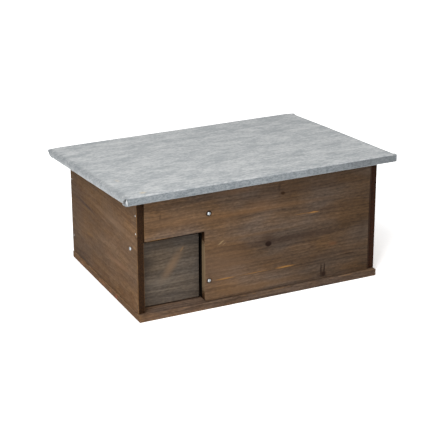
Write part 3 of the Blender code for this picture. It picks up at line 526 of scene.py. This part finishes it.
CUT_EDGE_GLINT = ((-0.2276, 0.2012, 0.0072, 0.0012, 94, 0.30, 0.9, "#fbfcfc"),)
material, tree, shader = new_material("galvanised_sheet_dull")
place = add(tree, "ShaderNodeTexCoord", out="Object")
tone = 0.0
for widths, detail, share in CLOUDS:
    drawn = add(tree, MAPPING, {"Vector": place, "Scale": [1 / width for width in widths]})
    cloud = add(tree, NOISE, {"Vector": drawn, "Scale": 1.0, "Detail": detail, "Roughness": 0.6})
    tone = add(tree, MATH, (cloud, share, tone), operation="MULTIPLY_ADD")
tone = add(tree, STEP, (tone, 0.40, 0.60), interpolation_type="SMOOTHSTEP")
colour = add(tree, MIX, {0: tone, 6: paint(SHEET[0]), 7: paint(SHEET[1])}, out=2,
             data_type="RGBA")
colour = add_marks(tree, colour, place, "XY", ROOF_STAINS, ragged=4 * MM)
across, along, _ = add(tree, SPLIT_XYZ, (place,)).node.outputs
# Painted light: the sheet is a little brighter towards the front and the left
painted_light_falloff = add(tree, STEP, (along, -0.17, 0.17, 1.05, 0.94))
painted_light_to_left = add(tree, STEP, (across, -0.20, 0.20, 1.07, 0.96))
painted_light_falloff = add(tree, MATH, (painted_light_falloff, painted_light_to_left), operation="MULTIPLY")
colour = add(tree, "ShaderNodeHueSaturation", {"Value": painted_light_falloff, "Color": colour})

# The bent edges: mottled blue-grey and darkened as painted shade, more so to the right, with
# a pale rim at the very bottom that is partly a painted highlight
down = add(tree, "ShaderNodeAttribute", out="Fac", attribute_name="edge_depth")
drawn = add(tree, MAPPING, {"Vector": place, "Scale": [1 / (w * MM) for w in (3.5, 3.5, 2.2)]})
crinkle = add(tree, NOISE, {"Vector": drawn, "Scale": 1.0, "Detail": 4.0, "Roughness": 0.65})
crinkle = add(tree, STEP, (crinkle, 0.36, 0.62))
edge_tone = add(tree, MIX, {0: crinkle, 6: paint(BENT_MOTTLE_AND_SHADE[0]), 7: paint(BENT_MOTTLE_AND_SHADE[1])}, out=2,
                data_type="RGBA")
# Painted shade: the bent edges darken towards the right
shade = add(tree, STEP, (across, 0.06, 0.17, 0.92, 0.56))
edge_tone = add(tree, "ShaderNodeHueSaturation", {"Value": shade, "Color": edge_tone})
bent = add(tree, STEP, (down, 0.10, 0.22, 0.0, 0.92), interpolation_type="SMOOTHSTEP")
colour = add(tree, MIX, {0: bent, 6: colour, 7: edge_tone}, out=2, data_type="RGBA")

# The rolled sides darken towards their outer turn: a fine mottle, partly painted shade
out_at = add(tree, MATH, (across,), operation="ABSOLUTE")
rolled = add(tree, STEP, (out_at, 0.2140, 0.2295, 0.0, 0.75), interpolation_type="SMOOTHSTEP")
roll_mottle_and_shade = add(tree, MATH, (crinkle, -0.5, rolled), operation="MULTIPLY_ADD", use_clamp=True)
colour = add(tree, MIX, {0: roll_mottle_and_shade, 6: colour, 7: paint(ROLLED_MOTTLE_AND_SHADE)}, out=2, data_type="RGBA")

# The slit beside the left front tab is painted dark as its shadow, and the tab's cut edge gets
# a painted glint
on_side = add(tree, STEP, (across, *SIDE_FACE, 1.0, 0.0))
slit = add_marks(tree, colour, place, "YZ", CORNER_SLIT_SHADOW, ragged=0.4 * MM)
colour = add(tree, MIX, {0: on_side, 6: colour, 7: slit}, out=2, data_type="RGBA")
on_front = add(tree, STEP, (along, *FRONT_FACE, 1.0, 0.0))
cut_edge_glint = add_marks(tree, colour, place, "XZ", CUT_EDGE_GLINT, ragged=0.4 * MM)
colour = add(tree, MIX, {0: on_front, 6: colour, 7: cut_edge_glint}, out=2, data_type="RGBA")
# The pale rim: partly a rubbed cut edge, partly a painted highlight
rim = add(tree, STEP, (down, 0.90, 0.97, 0.0, 0.75), interpolation_type="SMOOTHSTEP")
colour = add(tree, MIX, {0: rim, 6: colour, 7: paint(RIM_WEAR_AND_HIGHLIGHT)}, out=2, data_type="RGBA")

rough = add(tree, STEP, (tone, 0.0, 1.0, 0.62, 0.48))
wrinkles = add(tree, MATH, (crinkle, bent), operation="MULTIPLY")
height = add(tree, MATH, (wrinkles, 2.0, tone), operation="MULTIPLY_ADD")
bump = add(tree, "ShaderNodeBump", {"Height": height, "Strength": 0.35, "Distance": 0.2 * MM})
tree.links.new(colour, shader.inputs["Base Color"])
tree.links.new(rough, shader.inputs["Roughness"])
tree.links.new(bump, shader.inputs["Normal"])
shader.inputs["Metallic"].default_value = 0.35
folded_sheet.data.materials.clear()
folded_sheet.data.materials.append(material)
print("the sheet's finish has", len(tree.nodes), "nodes")

# %% [markdown]
# Screws and hinges are steel with a thin bright zinc plate, a little cloudy from handling. The
# nails are plain drawn steel, a little warmer and rougher. Both are true metals, and differ in
# colour, in roughness and in how much they vary from place to place.

# %% Small metals
def small_metal(name, pale, dark, rough_low, rough_high):
    """A small metal part's finish, with clouds and stains about a millimetre wide."""
    material, tree, shader = new_material(name)
    place = add(tree, "ShaderNodeTexCoord", out="Object")
    stains = add(tree, NOISE, {"Vector": place, "Scale": 1 / (1.1 * MM), "Detail": 3.0})
    share = add(tree, STEP, (stains, 0.35, 0.65))
    colour = add(tree, MIX, {0: share, 6: paint(dark), 7: paint(pale)}, out=2, data_type="RGBA")
    rough = add(tree, STEP, (share, 0.0, 1.0, rough_high, rough_low))
    tree.links.new(colour, shader.inputs["Base Color"])
    tree.links.new(rough, shader.inputs["Roughness"])
    shader.inputs["Metallic"].default_value = 1.0
    return material


zinc_plate = small_metal("zinc_plated_steel", "#cbcfd1", "#91989d", 0.28, 0.45)
nail_steel = small_metal("bare_drawn_steel", "#e6e4df", "#b5afa6", 0.32, 0.50)
for name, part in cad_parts.items():
    if "leaf" in name or "pin" in name:
        part.data.materials.clear()
        part.data.materials.append(zinc_plate)
print("hinge leaves and pins are zinc-plated")

# %% [markdown]
# ## Screws and nails
# A screw's head is a shallow dome with a cross recess, a countersunk one is nearly flat with a
# cone under it, and a nail's is a flat disc with a rounded rim. One Geometry Nodes tree makes all
# three. It starts from a ball: the upper half is pressed to the head's height, the lower half is
# pushed up into a cone that ends at the shank. Two crossed bars are cut out for the driver, a
# shank and a point are joined on, and the result is set on every place where a fastener sits,
# turned outwards, each with its own turn about its axis from a fixed seed.

# %% A tree for fasteners
BAR_LENGTH, BAR_WIDTH = 1.25, 0.36    # of the recess, in head radii
TIP_RADIUS, BELOW_EQUATOR, LEAST_RECESS = 5e-5, -1e-7, 1e-5
SIZES = {"Head radius": 3.2 * MM, "Head height": 1.9 * MM, "Flatness": 1.0, "Cone depth": 0.0,
         "Shank radius": 1.6 * MM, "Length": 30 * MM, "Point": 4 * MM, "Recess": 1.0 * MM}
fasteners = bpy.data.node_groups.new("fastener", "GeometryNodeTree")
tree = fasteners
tree.interface.new_socket("Places", in_out="INPUT", socket_type="NodeSocketGeometry")
for label, value in SIZES.items():
    socket = tree.interface.new_socket(label, in_out="INPUT", socket_type="NodeSocketFloat")
    socket.default_value = value
tree.interface.new_socket("Finish", in_out="INPUT", socket_type="NodeSocketMaterial")
tree.interface.new_socket("Fasteners", in_out="OUTPUT", socket_type="NodeSocketGeometry")
given = add(tree, "NodeGroupInput").node.outputs
radius, height, shank = given["Head radius"], given["Head height"], given["Shank radius"]

# The head: a ball, domed above and coned below
ball = add(tree, "GeometryNodeMeshUVSphere", (28, 14, radius))
spot = add(tree, "GeometryNodeInputPosition")
x, y, z = add(tree, SPLIT_XYZ, (spot,)).node.outputs
rise = add(tree, MATH, (z, radius), operation="DIVIDE")
rise = add(tree, MATH, (rise, given["Flatness"]), operation="MULTIPLY", use_clamp=True)
rise = add(tree, MATH, (rise, height), operation="MULTIPLY")
flat = add(tree, JOIN_XYZ, (x, y, 0.0))
reach = add(tree, VECTOR, (flat,), out="Value", operation="LENGTH")
inset = add(tree, MATH, (radius, reach), operation="SUBTRACT")
room = add(tree, MATH, (radius, shank), operation="SUBTRACT")
inset = add(tree, MATH, (inset, room), operation="DIVIDE", use_clamp=True)
under = add(tree, MATH, (z, BELOW_EQUATOR), operation="LESS_THAN")
sunk = add(tree, MATH, (inset, under), operation="MULTIPLY")
sunk = add(tree, MATH, (sunk, given["Cone depth"]), operation="MULTIPLY")
new_z = add(tree, MATH, (rise, sunk), operation="SUBTRACT")
spot = add(tree, JOIN_XYZ, (x, y, new_z))
head = add(tree, "GeometryNodeSetPosition", {"Geometry": ball, "Position": spot})

# The cross recess
long_side = add(tree, MATH, (radius, BAR_LENGTH), operation="MULTIPLY")
short_side = add(tree, MATH, (radius, BAR_WIDTH), operation="MULTIPLY")
deep = add(tree, MATH, (given["Recess"], 2.0), operation="MULTIPLY")
cross = add(tree, "GeometryNodeMeshBoolean", operation="UNION", solver="EXACT")
for sides in ((long_side, short_side, deep), (short_side, long_side, deep)):
    box = add(tree, JOIN_XYZ, sides)
    bar = add(tree, "GeometryNodeMeshCube", {"Size": box})
    tree.links.new(bar, cross.node.inputs["Mesh 2"])
top = add(tree, JOIN_XYZ, (0.0, 0.0, height))
raised = add(tree, "GeometryNodeTransform", {"Geometry": cross, "Translation": top})
cut = add(tree, "GeometryNodeMeshBoolean", {"Mesh 1": head, "Mesh 2": raised},
          operation="DIFFERENCE", solver="EXACT")
crossed = add(tree, MATH, (given["Recess"], LEAST_RECESS), operation="GREATER_THAN")
head = add(tree, "GeometryNodeSwitch", {"Switch": crossed, "False": head, "True": cut},
           input_type="GEOMETRY")

# Shank and point: cones grow upwards from their base, so each is set down by its foot
joined = add(tree, "GeometryNodeJoinGeometry")
tree.links.new(head, joined.node.inputs[0])
straight = add(tree, MATH, (given["Length"], given["Point"]), operation="SUBTRACT")
stem = add(tree, MATH, (straight, given["Cone depth"]), operation="SUBTRACT")
for bottom, depth, foot in ((shank, stem, straight),
                            (TIP_RADIUS, given["Point"], given["Length"])):
    rod = add(tree, "GeometryNodeMeshCone", {"Vertices": 14, "Radius Top": shank,
                                             "Radius Bottom": bottom, "Depth": depth})
    drop = add(tree, MATH, (foot, -1.0), operation="MULTIPLY")
    drop = add(tree, JOIN_XYZ, (0.0, 0.0, drop))
    rod = add(tree, "GeometryNodeTransform", {"Geometry": rod, "Translation": drop})
    tree.links.new(rod, joined.node.inputs[0])

# One on every place, turned outwards
outward = add(tree, "GeometryNodeInputNamedAttribute", ("outward",), data_type="FLOAT_VECTOR")
facing = add(tree, "FunctionNodeAlignRotationToVector", {"Vector": outward}, axis="Z")
spin = add(tree, "FunctionNodeRandomValue", {2: 0.0, 3: math.tau, "Seed": 7}, out=1,
           data_type="FLOAT")
spin = add(tree, JOIN_XYZ, (0.0, 0.0, spin))
spun = add(tree, "FunctionNodeRotateRotation", {"Rotation": facing, "Rotate By": spin},
           rotation_space="LOCAL")
copies = add(tree, "GeometryNodeInstanceOnPoints", {"Points": given["Places"],
                                                    "Instance": joined, "Rotation": spun})
copies = add(tree, "GeometryNodeRealizeInstances", (copies,))
copies = add(tree, "GeometryNodeSetMaterial", {"Geometry": copies, "Material": given["Finish"]})
add(tree, "NodeGroupOutput", (copies,))
print("the fastener tree has", len(tree.nodes), "nodes")

# %% [markdown]
# Every fastener of one kind on one body becomes one mesh. Its place and direction are read from
# the box of its CAD node, which says where the head's outer end is and how long it is. The
# tree's inputs are set by their identifiers before the object is first evaluated, and the
# evaluated result is kept as a plain mesh, so the modifier is gone before the piece is handed
# to the model.

# %% Make the fasteners
UNDER_ROOF = lay_flat.inverted().to_3x3() @ Vector((0, 0, -1))
WAYS = {"partition_screw": (0, -1, 0), "pivot_screw_left": (-1, 0, 0),
        "pivot_screw_right": (1, 0, 0), "nail_left": (-1, 0, 0), "nail_right": (1, 0, 0),
        "nail_floor": (0, 0, -1), "hinge_wall_screw": (0, 1, 0), "hinge_roof_screw": UNDER_ROOF}


def fasten(name, body, word, finish, slot, **sizes):
    """Replace the CAD screws or nails whose names hold a word by one detailed mesh."""
    nodes = [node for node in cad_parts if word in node]
    points, directions = [], []
    for node in nodes:
        way = Vector(next(way for key, way in WAYS.items() if key in node))
        start, end = (Vector(corner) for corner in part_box(node))
        axis = max(range(3), key=lambda i: abs(way[i]))
        half = (end - start)[axis] / 2
        points.append((start + end) / 2 + way * (half - sizes["Head_height"]))
        directions += list(way)
    sizes["Length"] = 2 * half - sizes["Head_height"]
    places = bpy.data.meshes.new(name + "_places")
    places.from_pydata(points, [], [])
    outward = places.attributes.new("outward", "FLOAT_VECTOR", "POINT")
    outward.data.foreach_set("vector", directions)
    holder = bpy.data.objects.new(name + "_places", places)
    bpy.context.collection.objects.link(holder)
    modifier = holder.modifiers.new("fasteners", "NODES")
    modifier.node_group = fasteners
    for item in fasteners.interface.items_tree:
        key = item.name.replace(" ", "_")
        if key in sizes:
            modifier[item.identifier] = sizes[key]
        elif key == "Finish":
            modifier[item.identifier] = finish
    evaluated = bpy.context.evaluated_depsgraph_get()
    mesh = bpy.data.meshes.new_from_object(holder.evaluated_get(evaluated), depsgraph=evaluated)
    bpy.data.objects.remove(holder)
    mesh.name = name
    mesh.shade_smooth()
    mesh.set_sharp_from_angle(angle=math.radians(40))
    piece = bpy.data.objects.new(name, mesh)
    bpy.context.collection.objects.link(piece)
    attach(piece, body)
    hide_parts(*nodes)
    print(name, "stands for", len(nodes), "nodes with", len(mesh.polygons), "faces")


# The pan heads have a radius 0.3 mm smaller than the CAD ones, as the photo's bright spots suggest
PAN = {"Head_radius": 2.9 * MM, "Head_height": 1.9 * MM, "Flatness": 1.15,
       "Shank_radius": 1.6 * MM, "Recess": 1.5 * MM}
FLAT = {"Head_radius": 2.8 * MM, "Head_height": 0.3 * MM, "Flatness": 1.5, "Cone_depth": 1.3 * MM,
        "Shank_radius": 1.25 * MM, "Recess": 0.8 * MM, "Point": 3 * MM}
NAIL = {"Head_radius": 1.6 * MM, "Head_height": 0.5 * MM, "Flatness": 3.0,
        "Shank_radius": 0.75 * MM, "Point": 3 * MM, "Recess": 0.0}
fasten("partition_screws", "house", "partition_screw", zinc_plate, "zinc_plate", **PAN)
fasten("flap_pivot_screws", "flap", "pivot_screw", zinc_plate, "zinc_plate", **PAN)
fasten("hinge_wall_screws", "house", "hinge_wall_screw", zinc_plate, "zinc_plate", **FLAT)
fasten("hinge_roof_screws", "roof", "hinge_roof_screw", zinc_plate, "zinc_plate", **FLAT)
fasten("wire_nails", "house", "nail_", nail_steel, "nail_steel", **NAIL)

# %% [markdown]
# ## Floor and light
# The photo is a studio shot on white. The floor is white to the camera and only pale to the
# other rays, so it stays bright without throwing more light on the boards. A large soft lamp
# stands high at the left front, a weaker one fills from the right, and the world is a plain grey
# that metal sees as white.

# %% Floor, world and lamps
def background_rays(tree):
    """1 for the rays that should see the white background: straight, mirrored and refracted."""
    rays = add(tree, "ShaderNodeLightPath").node.outputs
    mirrored = add(tree, MATH, (rays["Is Glossy Ray"], rays["Is Transmission Ray"]),
                   operation="MAXIMUM")
    return add(tree, MATH, (rays["Is Camera Ray"], mirrored), operation="MAXIMUM")


def soft_lamp(name, place, size, watts):
    """A square lamp that faces the house."""
    lamp = bpy.data.lights.new(name, "AREA")
    lamp.size = size
    lamp.energy = watts
    stand = bpy.data.objects.new(name, lamp)
    bpy.context.collection.objects.link(stand)
    stand.location = place
    stand.rotation_euler = (Vector((0, 0, 0.1)) - Vector(place)).to_track_quat("-Z", "Y").to_euler()
    print(name, "gives", watts, "W")


CAMERA_WHITE, WORLD_LIGHT = 2.4, 0.45
floor_mesh = bpy.data.meshes.new("studio_floor")
floor_mesh.from_pydata([(-6, -6, 0), (6, -6, 0), (6, 6, 0), (-6, 6, 0)], [], [(0, 1, 2, 3)])
studio_floor = bpy.data.objects.new("studio_floor", floor_mesh)
bpy.context.collection.objects.link(studio_floor)
floor_white, tree, shader = new_material("studio_white")
white = add(tree, MIX, {0: background_rays(tree), 6: paint("#d8d8d8"),
                        7: (CAMERA_WHITE, CAMERA_WHITE, CAMERA_WHITE, 1.0)},
            out=2, data_type="RGBA")
tree.links.new(white, shader.inputs["Base Color"])
shader.inputs["Roughness"].default_value = 1.0
shader.inputs["Specular IOR Level"].default_value = 0.0
floor_mesh.materials.append(floor_white)

world = bpy.data.worlds.new("studio")
bpy.context.scene.world = world
world.use_nodes = True
tree = world.node_tree
tree.nodes.clear()
strength = add(tree, STEP, (background_rays(tree), 0.0, 1.0, WORLD_LIGHT, 1.0))
glow = add(tree, "ShaderNodeBackground", {"Color": (1, 1, 1, 1), "Strength": strength})
add(tree, "ShaderNodeOutputWorld", {"Surface": glow})
soft_lamp("key_lamp", (-1.30, -1.20, 1.9), 1.1, 30.0)
soft_lamp("fill_lamp", (1.8, -2.2, 1.2), 1.6, 6.0)
bpy.context.scene.view_settings.view_transform = "Standard"
